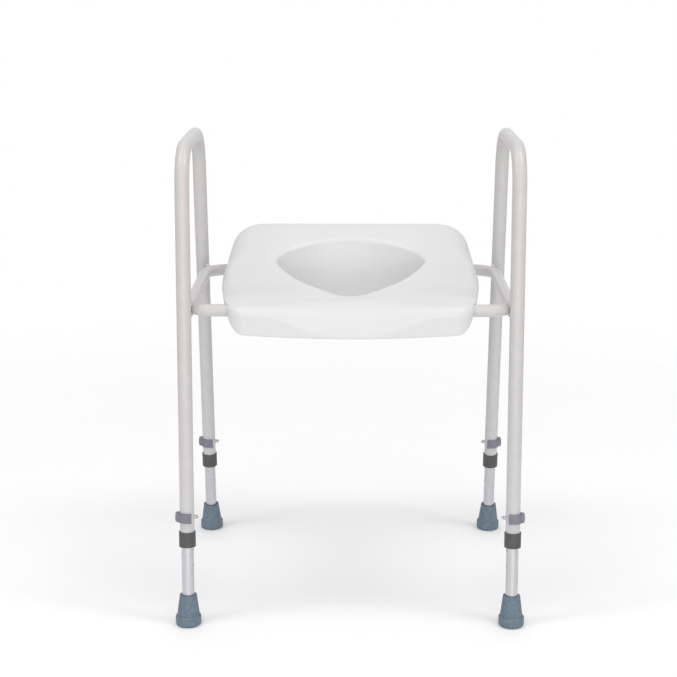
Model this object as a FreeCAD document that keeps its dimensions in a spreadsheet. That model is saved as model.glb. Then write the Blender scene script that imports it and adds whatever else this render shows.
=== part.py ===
import FreeCAD, Part
import math
import os

import Sketcher
from FreeCAD import Placement, Rotation, Vector

# A free-standing raised toilet seat: two tube side frames joined by a loop of
# rail tube, four telescopic legs with clip pins and rubber feet, and one
# moulded seat that lifts off the rails. Millimetres. The origin is on the
# floor under the middle of the frame, +Z is up and the user faces -Y.

SIZES = {
    # small clearances between touching pieces, and a margin for cutting tools
    "fit_play": 0.02,
    "socket_play": 0.05,
    "thread_room": 0.3,
    "cut_margin": 5.0,
    "tool_reach": 50.0,
    # tubes
    "frame_tube_radius": 11.1,
    "frame_tube_wall": 1.5,
    "inner_leg_radius": 9.525,
    "inner_leg_wall": 1.5,
    "rail_radius": 9.5,
    "rail_wall": 1.2,
    # side frames: the legs lean inwards, front and rear, by the splay angle
    "side_spacing": 251.0,
    "foot_reach": 197.7,
    "splay_angle": 5.83,
    "arm_height": 728.0,
    "arm_bend": 60.0,
    "frame_tube_end": 127.0,
    # rail loop, nested between the legs
    "rail_height": 489.5,
    "rail_spacing": 244.5,
    "rail_reach": 146.0,
    "rail_bend": 36.0,
    "rail_seam": 104.0,
    "sleeve_start": 109.0,
    "sleeve_length": 40.0,
    "sleeve_wall": 1.5,
    "weld_radius": 4.6,
    "weld_lift": 7.6,
    # leg extensions, measured along the leg from the floor
    "inner_leg_bottom": 13.0,
    "inner_leg_spare": 26.0,
    "hole_pitch": 25.4,
    "hole_count": 7,
    "pin_height": 171.2,
    "pin_radius": 3.0,
    "pin_play": 0.08,
    "pin_tip": 17.6,
    "pin_point": 3.2,
    "pin_point_radius": 1.2,
    "pin_seat": 15.4,
    # collar at the end of each outer tube
    "collar_radius": 12.9,
    "collar_bottom": 124.5,
    "collar_top": 148.3,
    "collar_step": 0.6,
    "collar_lower_round": 0.6,
    "collar_round": 4.4,
    "collar_play": 0.03,
    # rubber foot
    "foot_height": 47.2,
    "foot_mouth_radius": 13.2,
    "foot_neck_radius": 17.3,
    "foot_neck_base": 16.5,
    "foot_sole_radius": 19.75,
    "foot_sole_height": 13.2,
    "foot_sole_round": 3.0,
    "washer_radius": 9.3,
    "washer_thickness": 2.0,
    # adjuster clip
    "clip_gap": 0.3,
    "clip_wall": 2.2,
    "clip_width": 15.0,
    "clip_arm_reach": 8.0,
    "clip_tab": 1.3,
    "clip_tab_width": 2.2,
    "clip_head_radius": 8.3,
    "clip_head_reach": 17.6,
    "clip_head_round": 2.6,
    # seat moulding: plan outline
    "seat_half_width": 205.0,
    "seat_front": 184.0,
    "seat_rear": 187.0,
    "seat_front_corner": 32.0,
    "seat_rear_corner": 48.0,
    "side_bow_radius": 1062.0,
    "side_bow_place": 40.0,
    "front_bow_radius": 1751.0,
    "apron_inset": 4.0,
    "apron_bottom": 454.0,
    "apron_half_width": 183.0,
    "apron_corner": 24.0,
    "rim_bottom": 478.0,
    "seat_limit": 590.0,
    "seat_wall": 3.0,
    # seat moulding: upper surface
    "lobe_front_height": 500.0,
    "lobe_front_place": 175.0,
    "lobe_slope": 0.127,
    "rear_slope": 0.3375,
    "crease_outer": 29.0,
    "crease_inner": 3.0,
    "crease_outer_across": 175.0,
    "crease_round": 16.0,
    "ridge_height": 569.0,
    "ridge_round": 8.0,
    "centre_dip": 6.0,
    "centre_dip_width": 36.0,
    "dip_starts": 150.0,
    "dip_full_from": 90.0,
    "dip_full_to": 60.0,
    "dish_depth": 5.0,
    "dish_spread": 42.0,
    "dish_across": 118.0,
    "dish_along": 68.0,
    "shoulder_width": 38.0,
    "shoulder_drop": 20.0,
    "shoulder_limit": 1.2,
    "surface_reach": 215.0,
    "surface_depth": 150.0,
    "surface_steps": 24,
    # opening and the funnel below it
    "opening_half_width": 119.0,
    "opening_waist": 28.0,
    "opening_front": 107.5,
    "opening_rear": 94.0,
    "arch_bluntness": 1.85,
    "vee_fullness": 1.8,
    "vee_sharpness": 0.98,
    "opening_steps": 16,
    "funnel_bottom": 443.0,
    "funnel_level": 520.0,
    "funnel_taper": 0.17,
    "rail_notch_play": 1.5,
    # trough saddles under the seat
    "saddle_front_spacing": 112.0,
    "saddle_rear_spacing": 132.0,
    "saddle_length": 36.0,
    "saddle_play": 0.3,
    "saddle_wall": 2.4,
    "saddle_web_top": 500.6,
    "saddle_crown": 6.5,
    "saddle_recess": 9.0,
    "saddle_shoulder": 496.0,
    "saddle_arm_bottom": 480.0,
    "saddle_flange_reach": 21.0,
    "saddle_flange_bottom": 488.0,
    "saddle_flange_top": 492.0,
    "recess_play": 0.3,
    "screw_offset": 17.0,
    "screw_radius": 1.9,
    "screw_play": 0.1,
    "screw_depth": 7.0,
    "screw_head_radius": 3.5,
    "screw_head_height": 2.3,
}

doc = FreeCAD.newDocument("raised_toilet_seat")
sheet = doc.addObject("Spreadsheet::Sheet", "sizes")
for row, (alias, number) in enumerate(SIZES.items(), start=1):
    sheet.set(f"A{row}", alias)
    sheet.set(f"B{row}", str(number))
    sheet.setAlias(f"B{row}", alias)
doc.recompute()


class Size:
    """A number together with the sheet expression that it comes from."""

    def __init__(self, value, text):
        self.value, self.text = value, text

    def joined(self, sign, other, value):
        other_text = other.text if isinstance(other, Size) else repr(other)
        return Size(value, f"({self.text} {sign} {other_text})")

    def __add__(self, other):
        return self.joined("+", other, self.value + float(other))

    def __sub__(self, other):
        return self.joined("-", other, self.value - float(other))

    def __mul__(self, other):
        return self.joined("*", other, self.value * float(other))

    def __truediv__(self, other):
        return self.joined("/", other, self.value / float(other))

    def __neg__(self):
        return self * -1

    def __float__(self):
        return float(self.value)


def size(alias):
    return Size(sheet.get(alias), f"sizes.{alias}")


ZERO = Size(0.0, "0")
SPLAY_TEXT = "(sizes.splay_angle * 1 deg)"
SPLAY_SINE = Size(math.sin(math.radians(sheet.get("splay_angle"))), f"sin({SPLAY_TEXT})")
SPLAY_COSINE = Size(math.cos(math.radians(sheet.get("splay_angle"))), f"cos({SPLAY_TEXT})")
SPLAY_TANGENT = Size(math.tan(math.radians(sheet.get("splay_angle"))), f"tan({SPLAY_TEXT})")

PARTS = []


def kept(thing, label):
    """Gives a finished sub-part its node name and puts it on the export list."""
    thing.Label = label
    PARTS.append(thing)
    return thing


def bind(thing, name, amount):
    """Ties a property to the sheet through an expression."""
    thing.setExpression(name, amount.text)


# ---------------------------------------------------------------- sketching


def new_body(name):
    return doc.addObject("PartDesign::Body", name)


def origin_plane(body, role):
    return next(f for f in body.Origin.OriginFeatures if f.Role == role)


def new_sketch(body, name, role, offset=None):
    """A sketch on one of the body's own origin planes, lifted along its normal."""
    sketch = body.newObject("Sketcher::SketchObject", name)
    sketch.AttachmentSupport = [(origin_plane(body, role), "")]
    sketch.MapMode = "FlatFace"
    if offset is not None:
        sketch.AttachmentOffset = Placement(Vector(0, 0, float(offset)), Rotation())
        bind(sketch, "AttachmentOffset.Base.z", offset)
    return sketch


def dimension(sketch, kind, where, amount):
    """Adds one driving dimension and binds it to the sheet."""
    number = sketch.addConstraint(Sketcher.Constraint(kind, *where, float(amount)))
    sketch.setExpression(f"Constraints[{number}]", amount.text)


def pin_point(sketch, geometry, end, across, up):
    """Fixes a point of the sketch at two sizes from the sketch origin."""
    for kind, axis, amount in (("DistanceX", -2, across), ("DistanceY", -1, up)):
        if float(amount) == 0:
            sketch.addConstraint(Sketcher.Constraint("PointOnObject", geometry, end, axis))
        else:
            dimension(sketch, kind, (geometry, end), amount)


def draw_polygon(sketch, corners):
    """A closed outline of straight edges whose corners are all dimensioned."""
    places = [Vector(float(across), float(up), 0) for across, up in corners]
    edges = []
    for place, following in zip(places, places[1:] + places[:1]):
        edges.append(sketch.addGeometry(Part.LineSegment(place, following), False))
    for edge, following in zip(edges, edges[1:] + edges[:1]):
        sketch.addConstraint(Sketcher.Constraint("Coincident", edge, 2, following, 1))
    for edge, (across, up) in zip(edges, corners):
        pin_point(sketch, edge, 1, across, up)


def draw_circle(sketch, across, up, radius):
    centre = Vector(float(across), float(up), 0)
    circle = Part.Circle(centre, Vector(0, 0, 1), float(radius))
    number = sketch.addGeometry(circle, False)
    dimension(sketch, "Radius", (number,), radius)
    pin_point(sketch, number, 3, across, up)


# ---------------------------------------------------------------- features


def pad(body, sketch, length, midplane=False):
    feature = body.newObject("PartDesign::Pad", "pad")
    feature.Profile = sketch
    feature.Length = float(length)
    bind(feature, "Length", length)
    feature.Midplane = midplane
    doc.recompute()
    return feature


def pocket_through(body, sketch):
    """Cuts the sketch through the body both ways, and makes sure that it did cut."""
    doc.recompute()
    before = body.Shape.Volume
    feature = body.newObject("PartDesign::Pocket", "pocket")
    feature.Profile = sketch
    feature.Type = "ThroughAll"
    feature.Midplane = True
    doc.recompute()
    if not body.Shape.Volume < before - 1e-3:
        raise RuntimeError(f"{body.Name}: a pocket cut nothing")
    return feature


def turn(body, sketch, axis):
    feature = body.newObject("PartDesign::Revolution", "turned")
    feature.Profile = sketch
    feature.ReferenceAxis = (sketch, [axis])
    feature.Angle = 360
    doc.recompute()
    return feature


def edges_at(feature, test):
    """Names of the feature's edges whose middle passes the test."""
    found = []
    for number, edge in enumerate(feature.Shape.Edges, start=1):
        middle = edge.valueAt((edge.FirstParameter + edge.LastParameter) / 2)
        if test(middle):
            found.append(f"Edge{number}")
    return found


def fillet(body, base, names, radius):
    feature = body.newObject("PartDesign::Fillet", "round")
    feature.Base = (base, names)
    feature.Radius = float(radius)
    bind(feature, "Radius", radius)
    doc.recompute()
    return feature


def mirror(body, originals, role):
    feature = body.newObject("PartDesign::Mirrored", "mirrored")
    feature.Originals = originals
    feature.MirrorPlane = (origin_plane(body, role), [""])
    body.Tip = feature
    doc.recompute()
    return feature


def bent_tube(body, plane, mirror_role, start, end, radius, wall, bend, run_angle):
    """A symmetric bent tube: a level run from the mirror plane, one bend and a
    straight run at run_angle (degrees in the sketch) to its end, then mirrored."""
    spine = new_sketch(body, "spine", plane)
    x0, y0 = float(start[0]), float(start[1])
    x1, y1 = float(end[0]), float(end[1])
    heading = math.radians(float(run_angle))
    toward = Vector(math.cos(heading), math.sin(heading), 0)
    away = Vector(math.copysign(1, x1 - x0), 0, 0)
    corner = Vector(x1, y1, 0) - toward * ((y1 - y0) / toward.y)
    tangent = float(bend) * math.tan(away.getAngle(toward) / 2)
    first, last = corner - away * tangent, corner + toward * tangent
    centre = first + Vector(0, math.copysign(float(bend), y1 - y0), 0)
    middle = centre + (corner - centre).normalize() * float(bend)
    level = spine.addGeometry(Part.LineSegment(Vector(x0, y0, 0), first), False)
    arc = spine.addGeometry(Part.Arc(first, middle, last), False)
    run = spine.addGeometry(Part.LineSegment(last, Vector(x1, y1, 0)), False)
    starts_at_level = (spine.Geometry[arc].StartPoint - first).Length < 1e-6
    near, far = (1, 2) if starts_at_level else (2, 1)
    spine.addConstraint(Sketcher.Constraint("Tangent", level, 2, arc, near))
    spine.addConstraint(Sketcher.Constraint("Tangent", arc, far, run, 1))
    spine.addConstraint(Sketcher.Constraint("Horizontal", level))
    dimension(spine, "Radius", (arc,), bend)
    number = spine.addConstraint(Sketcher.Constraint("Angle", run, heading))
    spine.setExpression(f"Constraints[{number}]", f"{run_angle.text} * 1 deg")
    pin_point(spine, level, 1, *start)
    pin_point(spine, run, 2, *end)
    doc.recompute()

    # the ring stands where the level run leaves the mirror plane
    ring = new_sketch(body, "ring", mirror_role)
    across, up = (ZERO, start[1]) if plane == "YZ_Plane" else (start[1], ZERO)
    draw_circle(ring, across, up, radius)
    draw_circle(ring, across, up, radius - wall)
    doc.recompute()
    pipe = body.newObject("PartDesign::AdditivePipe", "pipe")
    pipe.Profile = ring
    pipe.Spine = (spine, ["Edge1", "Edge2", "Edge3"])
    doc.recompute()
    return mirror(body, [pipe], mirror_role)


# ---------------------------------------------------------------- placing


def move_to(thing, x=ZERO, y=ZERO, z=ZERO):
    for axis, amount in zip("xyz", (x, y, z)):
        if float(amount):
            bind(thing, f"Placement.Base.{axis}", amount)


LEGS = {
    "front_left": (-1, -1),
    "front_right": (1, -1),
    "rear_left": (-1, 1),
    "rear_right": (1, 1),
}


def stand_on_leg(thing, side, end, outward=False):
    """Puts a part that is built round its own Z onto one leg's leaning axis.
    outward turns the part's -X side to the outer side of the frame."""
    lean = Rotation(Vector(1, 0, 0), end * sheet.get("splay_angle"))
    facing = Rotation(Vector(0, 0, 1), 180 if outward and side > 0 else 0)
    thing.Placement = Placement(Vector(), lean * facing)
    move_to(thing, size("side_spacing") * side, size("foot_reach") * end)


def stand_on_floor(thing, side, end):
    """Puts a part built for a front leg at one leg's foot, turned for a rear leg."""
    facing = Rotation(Vector(0, 0, 1), 180 if end > 0 else 0)
    thing.Placement = Placement(Vector(), facing)
    move_to(thing, size("side_spacing") * side, size("foot_reach") * end)


# ---------------------------------------------------------------- frame


def pin_hole_radius():
    return size("pin_radius") + size("pin_play")


def make_side_frame(label, side):
    body = new_body(label)
    end_reach = size("foot_reach") - size("frame_tube_end") * SPLAY_TANGENT
    bent_tube(
        body, "YZ_Plane", "XZ_Plane",
        start=(ZERO, size("arm_height")),
        end=(-end_reach, size("frame_tube_end")),
        radius=size("frame_tube_radius"), wall=size("frame_tube_wall"),
        bend=size("arm_bend"), run_angle=-(size("splay_angle") + 90),
    )
    holes = new_sketch(body, "pin_holes", "YZ_Plane")
    hole_reach = size("foot_reach") - size("pin_height") * SPLAY_SINE
    for reach in (-hole_reach, hole_reach):
        draw_circle(holes, reach, size("pin_height") * SPLAY_COSINE, pin_hole_radius())
    pocket_through(body, holes)
    move_to(body, x=size("side_spacing") * side)
    return kept(body, label)


def make_rail(label, end):
    """One half of the rail loop: end is -1 for the short front half, and 1 for
    the rear half, which is built the same way and turned round."""
    body = new_body(label)
    bent_tube(
        body, "XY_Plane", "YZ_Plane",
        start=(ZERO, -size("rail_reach")),
        end=(size("rail_spacing"), size("rail_seam") * end),
        radius=size("rail_radius"), wall=size("rail_wall"),
        bend=size("rail_bend"), run_angle=Size(90.0, "90"),
    )
    body.Placement = Placement(Vector(), Rotation(Vector(0, 0, 1), 180 if end > 0 else 0))
    move_to(body, z=size("rail_height"))
    return kept(body, label)


def make_rail_sleeve(label, side):
    """The short inner tube that joins the two halves of the loop."""
    body = new_body(label)
    ring = new_sketch(body, "ring", "XZ_Plane", offset=size("sleeve_start") - size("sleeve_length"))
    outer = size("rail_radius") - size("rail_wall") - size("socket_play")
    draw_circle(ring, ZERO, ZERO, outer)
    draw_circle(ring, ZERO, ZERO, outer - size("sleeve_wall"))
    pad(body, ring, size("sleeve_length"))
    move_to(body, x=size("rail_spacing") * side, z=size("rail_height"))
    return kept(body, label)


def make_rail_weld(label, side, end):
    """Two beads in the crevice between a leg and the rail's round corner."""
    centre = Vector(
        side * (sheet.get("rail_spacing") - sheet.get("rail_bend")),
        end * (sheet.get("rail_reach") - sheet.get("rail_bend")),
        sheet.get("rail_height"),
    )
    leg_reach = sheet.get("foot_reach") - centre.z * SPLAY_TANGENT.value
    leg = Vector(side * sheet.get("side_spacing"), end * leg_reach, centre.z)
    middle = sheet.get("rail_bend") + sheet.get("rail_radius")
    contact = centre + (leg - centre).normalize() * middle
    bend = Part.makeTorus(sheet.get("rail_bend"), sheet.get("rail_radius"), centre)
    upright = Vector(0, -end * SPLAY_SINE.value, SPLAY_COSINE.value)
    reach = sheet.get("tool_reach")
    tube = Part.makeCylinder(
        sheet.get("frame_tube_radius"), reach * 2, leg - upright * reach, upright
    )
    lift = Vector(0, 0, sheet.get("weld_lift"))
    radius = sheet.get("weld_radius")
    beads = []
    for way in (1, -1):
        bead = Part.makeSphere(radius, contact + lift * way, leg - centre).cut([bend, tube])
        beads.append(max(bead.Solids, key=lambda solid: solid.Volume))
    weld = doc.addObject("Part::Feature", label)
    weld.Shape = Part.makeCompound(beads)
    return kept(weld, label)


def make_collar(label, side, end):
    """Plastic bush pressed over the outer tube's end; its lip guides the inner leg."""
    body = new_body(label)
    guide = size("frame_tube_radius") - size("frame_tube_wall")
    socket = size("frame_tube_radius") + size("collar_play")
    tube_end = size("frame_tube_end") / SPLAY_COSINE - size("collar_play")
    outline = new_sketch(body, "outline", "XZ_Plane")
    draw_polygon(outline, [
        (guide, size("collar_bottom")),
        (size("collar_radius"), size("collar_bottom")),
        (size("collar_radius"), size("collar_top")),
        (socket, size("collar_top")),
        (socket, tube_end - size("collar_step")),
        (guide, tube_end - size("collar_step")),
    ])
    turned = turn(body, outline, "V_Axis")
    bottom = sheet.get("collar_bottom")
    outer = sheet.get("collar_radius")
    names = edges_at(turned, lambda p: abs(p.z - bottom) < 0.01 and math.hypot(p.x, p.y) > outer - 0.1)
    fillet(body, turned, names, size("collar_lower_round"))
    stand_on_leg(body, side, end)
    return kept(body, label)


# ---------------------------------------------------------------- legs


def inner_leg_top():
    steps = (size("hole_count") - 1) / 2
    return size("pin_height") + size("hole_pitch") * steps + size("inner_leg_spare")


def make_leg_extension(label, side, end):
    body = new_body(label)
    ring = new_sketch(body, "ring", "XY_Plane", offset=size("inner_leg_bottom"))
    draw_circle(ring, ZERO, ZERO, size("inner_leg_radius"))
    draw_circle(ring, ZERO, ZERO, size("inner_leg_radius") - size("inner_leg_wall"))
    pad(body, ring, inner_leg_top() - size("inner_leg_bottom"))
    hole = new_sketch(body, "lowest_hole", "YZ_Plane")
    steps = (size("hole_count") - 1) / 2
    draw_circle(hole, ZERO, size("pin_height") - size("hole_pitch") * steps, pin_hole_radius())
    pocket = pocket_through(body, hole)
    row = body.newObject("PartDesign::LinearPattern", "hole_row")
    row.Originals = [pocket]
    row.Direction = (origin_plane(body, "Z_Axis"), [""])
    row.Occurrences = int(sheet.get("hole_count"))
    bind(row, "Occurrences", size("hole_count"))
    bind(row, "Length", size("hole_pitch") * (size("hole_count") - 1))
    body.Tip = row
    stand_on_leg(body, side, end)
    return kept(body, label)


def make_foot(label, side, end):
    """Rubber ferrule: a level sole ring and a neck that leans with the leg."""
    sole = new_body(f"{label}_sole")
    outline = new_sketch(sole, "outline", "XZ_Plane")
    draw_polygon(outline, [
        (ZERO, ZERO),
        (size("foot_sole_radius"), ZERO),
        (size("foot_sole_radius"), size("foot_sole_height")),
        (size("foot_neck_radius"), size("foot_neck_base")),
        (ZERO, size("foot_neck_base")),
    ])
    turned = turn(sole, outline, "V_Axis")
    outer = sheet.get("foot_sole_radius")
    names = edges_at(turned, lambda p: abs(p.z) < 0.01 and math.hypot(p.x, p.y) > outer - 0.1)
    fillet(sole, turned, names, size("foot_sole_round"))

    neck = doc.addObject("Part::Cone", f"{label}_neck")
    # the neck starts inside the sole ring, so that its leaning base is covered
    start = size("foot_neck_base") * 0.5
    slope = (size("foot_neck_radius") - size("foot_mouth_radius")) / (
        size("foot_height") - size("foot_neck_base"))
    bind(neck, "Radius1", size("foot_neck_radius") + slope * (size("foot_neck_base") - start))
    bind(neck, "Radius2", size("foot_mouth_radius"))
    bind(neck, "Height", size("foot_height") - start)
    lean = Rotation(Vector(1, 0, 0), -sheet.get("splay_angle"))
    neck.Placement = Placement(Vector(), lean)
    move_to(neck, y=start * SPLAY_SINE, z=start * SPLAY_COSINE)

    socket = doc.addObject("Part::Cylinder", f"{label}_socket")
    floor = size("inner_leg_bottom") - size("washer_thickness") - size("socket_play")
    bind(socket, "Radius", size("inner_leg_radius") + size("socket_play"))
    bind(socket, "Height", size("foot_height"))
    socket.Placement = Placement(Vector(), lean)
    move_to(socket, y=floor * SPLAY_SINE, z=floor * SPLAY_COSINE)

    outside = doc.addObject("Part::MultiFuse", f"{label}_outside")
    outside.Shapes = [sole, neck]
    outside.Refine = True
    foot = doc.addObject("Part::Cut", label)
    foot.Base, foot.Tool = outside, socket
    stand_on_floor(foot, side, end)
    return kept(foot, label)


def make_washer(label, side, end):
    washer = doc.addObject("Part::Cylinder", label)
    bind(washer, "Radius", size("washer_radius"))
    bind(washer, "Height", size("washer_thickness"))
    stand_on_leg(washer, side, end)
    floor = size("inner_leg_bottom") - size("washer_thickness") - size("fit_play")
    move_to(
        washer,
        size("side_spacing") * side,
        (size("foot_reach") - floor * SPLAY_SINE) * end,
        floor * SPLAY_COSINE,
    )
    return kept(washer, label)


# ---------------------------------------------------------------- clips


def make_clip(label, side, end):
    """Plastic band with two open arms round the tube and a round head outside it."""
    body = new_body(label)
    inner = size("frame_tube_radius") + size("clip_gap")
    outer = inner + size("clip_wall")
    base = size("pin_height") - size("clip_width") / 2
    disc = new_sketch(body, "disc", "XY_Plane", offset=base)
    draw_circle(disc, ZERO, ZERO, outer)
    pad(body, disc, size("clip_width"))
    arms = new_sketch(body, "arms", "XY_Plane", offset=base)
    reach, tab = size("clip_arm_reach"), outer + size("clip_tab")
    draw_polygon(arms, [
        (ZERO, -outer),
        (reach - size("clip_tab_width"), -outer),
        (reach - size("clip_tab_width"), -tab),
        (reach, -tab),
        (reach, tab),
        (reach - size("clip_tab_width"), tab),
        (reach - size("clip_tab_width"), outer),
        (ZERO, outer),
    ])
    pad(body, arms, size("clip_width"))
    head = new_sketch(body, "head", "XZ_Plane")
    head_root = -size("frame_tube_radius") * 0.6
    draw_polygon(head, [
        (-size("clip_head_reach"), size("pin_height")),
        (-size("clip_head_reach"), size("pin_height") + size("clip_head_radius")),
        (head_root, size("pin_height") + size("clip_head_radius")),
        (head_root, size("pin_height")),
    ])
    turn_axis = head.addGeometry(Part.LineSegment(
        Vector(-sheet.get("tool_reach"), sheet.get("pin_height"), 0),
        Vector(0, sheet.get("pin_height"), 0)), True)
    head.addConstraint(Sketcher.Constraint("Horizontal", turn_axis))
    dimension(head, "DistanceY", (turn_axis, 1), size("pin_height"))
    headed = turn(body, head, "Axis0")
    face = -sheet.get("clip_head_reach")
    names = edges_at(headed, lambda p: abs(p.x - face) < 0.01)
    fillet(body, headed, names, size("clip_head_round"))

    slot = new_sketch(body, "slot", "XY_Plane", offset=base)
    draw_circle(slot, ZERO, ZERO, inner)
    pocket_through(body, slot)
    mouth = new_sketch(body, "mouth", "XY_Plane", offset=base)
    draw_polygon(mouth, [
        (ZERO, -inner), (outer * 3, -inner), (outer * 3, inner), (ZERO, inner),
    ])
    pocket_through(body, mouth)
    hole = new_sketch(body, "pin_hole", "YZ_Plane")
    draw_circle(hole, ZERO, size("pin_height"), size("pin_radius") + size("fit_play"))
    drill = body.newObject("PartDesign::Pocket", "pin_hole_cut")
    drill.Profile = hole
    drill.Type = "Length"
    drill.Length = sheet.get("pin_seat")
    bind(drill, "Length", size("pin_seat"))
    doc.recompute()
    stand_on_leg(body, side, end, outward=True)
    return kept(body, label)


def make_clip_pin(label, side, end):
    """Steel pin along X with a pointed end on the inner side of the tube."""
    body = new_body(label)
    outline = new_sketch(body, "outline", "XZ_Plane")
    shoulder = size("pin_tip") - size("pin_point")
    draw_polygon(outline, [
        (size("fit_play") - size("pin_seat"), ZERO),
        (size("fit_play") - size("pin_seat"), size("pin_radius")),
        (shoulder, size("pin_radius")),
        (size("pin_tip"), size("pin_point_radius")),
        (size("pin_tip"), ZERO),
    ])
    turn(body, outline, "H_Axis")
    stand_on_leg(body, side, end, outward=True)
    floor = size("pin_height")
    move_to(
        body,
        size("side_spacing") * side,
        (size("foot_reach") - floor * SPLAY_SINE) * end,
        floor * SPLAY_COSINE,
    )
    return kept(body, label)


# ---------------------------------------------------------------- seat


def smooth_step(value, low, high):
    """0 below low, 1 above high and a smooth S between them."""
    part = min(max((value - low) / (high - low), 0.0), 1.0)
    return part * part * (3 - 2 * part)


def soft_ramp(value, width):
    """0 for a negative value and the value itself for a positive one, with a round corner."""
    return (value + math.hypot(value, width)) / 2


def seat_height(x, y):
    """Height of the seat's upper surface: two thigh lobes, each with a shallow dish,
    that rise to a crease, a steeper slope behind it up to a level ridge, a low place
    between the lobes, and a shoulder that falls away at the sides and the rear."""
    val = sheet.get
    inner, outer = val("crease_inner"), val("crease_outer")
    crease = inner + (outer - inner) * smooth_step(abs(x), val("opening_half_width"), val("crease_outer_across"))
    height = val("lobe_front_height") + val("lobe_slope") * (y + val("lobe_front_place"))
    height += (val("rear_slope") - val("lobe_slope")) * soft_ramp(y - crease, val("crease_round"))
    height -= soft_ramp(height - val("ridge_height"), val("ridge_round"))
    away = math.hypot(abs(x) - val("dish_across"), y + val("dish_along")) / val("dish_spread")
    height -= val("dish_depth") * math.exp(-away * away)
    forward = smooth_step(y, -val("dip_starts"), -val("dip_full_from"))
    forward *= 1 - smooth_step(y, -val("dip_full_to"), outer)
    height -= val("centre_dip") * math.exp(-(x / val("centre_dip_width")) ** 2) * forward
    width = val("shoulder_width")
    beside = max(width - (val("seat_half_width") - abs(x)), 0) / width
    behind = max(width - (val("seat_rear") - y), 0) / width
    fall = beside ** 2 * smooth_step(y, crease, crease + width) + behind ** 2
    return height - val("shoulder_drop") * min(fall, val("shoulder_limit"))


def under_seat_surface(name, lowering):
    """A block whose top is the seat's upper surface, lowered by the given amount."""
    reach, depth = sheet.get("surface_reach"), sheet.get("surface_depth")
    steps = int(sheet.get("surface_steps"))
    spots = [reach * (2 * i / steps - 1) for i in range(steps + 1)]
    grid = [[Vector(x, y, seat_height(x, y) - lowering) for y in spots] for x in spots]
    surface = Part.BSplineSurface()
    surface.interpolate(grid)
    block = doc.addObject("Part::Feature", name)
    block.Shape = surface.toShape().extrude(Vector(0, 0, -depth))
    return block


def drum(name, radius, x, y, bottom, height):
    """A wide upright cylinder, one edge of which bounds the seat."""
    round_block = doc.addObject("Part::Cylinder", name)
    bind(round_block, "Radius", radius)
    bind(round_block, "Height", height)
    move_to(round_block, x, y, bottom)
    return round_block


def plan_column(name, bottom, top, inset):
    """A straight column on the seat's plan: bowed sides and front, a flat rear and
    round corners, inset all round."""
    height = top - bottom
    half, front, rear = size("seat_half_width"), size("seat_front"), size("seat_rear")
    side_bow, front_bow = size("side_bow_radius"), size("front_bow_radius")
    place = size("side_bow_place")
    bounds = [
        box(f"{name}_block", (-half, -front, bottom), (half, rear - inset, top)),
        drum(f"{name}_left", side_bow - inset, side_bow - half, place, bottom, height),
        drum(f"{name}_right", side_bow - inset, half - side_bow, place, bottom, height),
        drum(f"{name}_front", front_bow - inset, ZERO, front_bow - front, bottom, height),
    ]
    plan = common(f"{name}_plan", bounds)
    doc.recompute()
    corners = []
    for number, edge in enumerate(plan.Shape.Edges, start=1):
        middle = edge.CenterOfMass
        upright = edge.BoundBox.ZLength > float(height) * 0.99
        if upright and abs(middle.y) > sheet.get("seat_front") / 2:
            alias = "seat_front_corner" if middle.y < 0 else "seat_rear_corner"
            radius = sheet.get(alias) - float(inset)
            corners.append((number, radius, radius))
    if len(corners) != len(LEGS):
        raise RuntimeError(f"{name}: expected a corner at each leg, found {len(corners)}")
    column = doc.addObject("Part::Fillet", name)
    column.Base = plan
    column.Edges = corners
    return column


def opening_ring(height, inset):
    """The opening's outline at a height, as a closed smooth wire: a blunt arch behind
    the waist and a V in front, drawn in by the funnel's taper and by the inset."""
    val = sheet.get
    inset = inset + (val("funnel_level") - height) * val("funnel_taper")
    half, waist = val("opening_half_width") - inset, val("opening_waist")
    rear, front = val("opening_rear") - inset - waist, val("opening_front") - inset + waist
    steps = int(val("opening_steps"))
    blunt, full, sharp = val("arch_bluntness"), val("vee_fullness"), val("vee_sharpness")
    shares = [math.cos(math.pi * i / steps) for i in range(steps + 1)]
    arch = [
        Vector(half * u, waist + rear * (1 - abs(u) ** blunt) ** (1 / blunt), height) for u in shares
    ]
    vee = [
        Vector(half * u, waist - front * (1 - abs(u) ** full) ** sharp, height) for u in shares
    ]
    curve = Part.BSplineCurve()
    curve.interpolate(Points=arch + vee[-2:0:-1], PeriodicFlag=True)
    return Part.Wire(curve.toShape())


def funnel(name, bottom, top, inset):
    """The solid inside the opening's tapered wall."""
    solid = doc.addObject("Part::Feature", name)
    rings = [opening_ring(bottom, inset), opening_ring(top, inset)]
    solid.Shape = Part.makeLoft(rings, True, True)
    return solid


def box(name, low, high):
    """A box between two corners given as sizes."""
    block = doc.addObject("Part::Box", name)
    for side, lower, upper in zip(("Length", "Width", "Height"), low, high):
        bind(block, side, upper - lower)
    move_to(block, *low)
    return block


def fused(name, shapes):
    union = doc.addObject("Part::MultiFuse", name)
    union.Shapes = shapes
    return union


def common(name, shapes):
    overlap = doc.addObject("Part::MultiCommon", name)
    overlap.Shapes = shapes
    return overlap


def cut(name, base, tool):
    difference = doc.addObject("Part::Cut", name)
    difference.Base, difference.Tool = base, tool
    return difference


def saddle_centre(side, end):
    spacing = size("saddle_front_spacing") if end < 0 else size("saddle_rear_spacing")
    return spacing * side, size("rail_reach") * end


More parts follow.
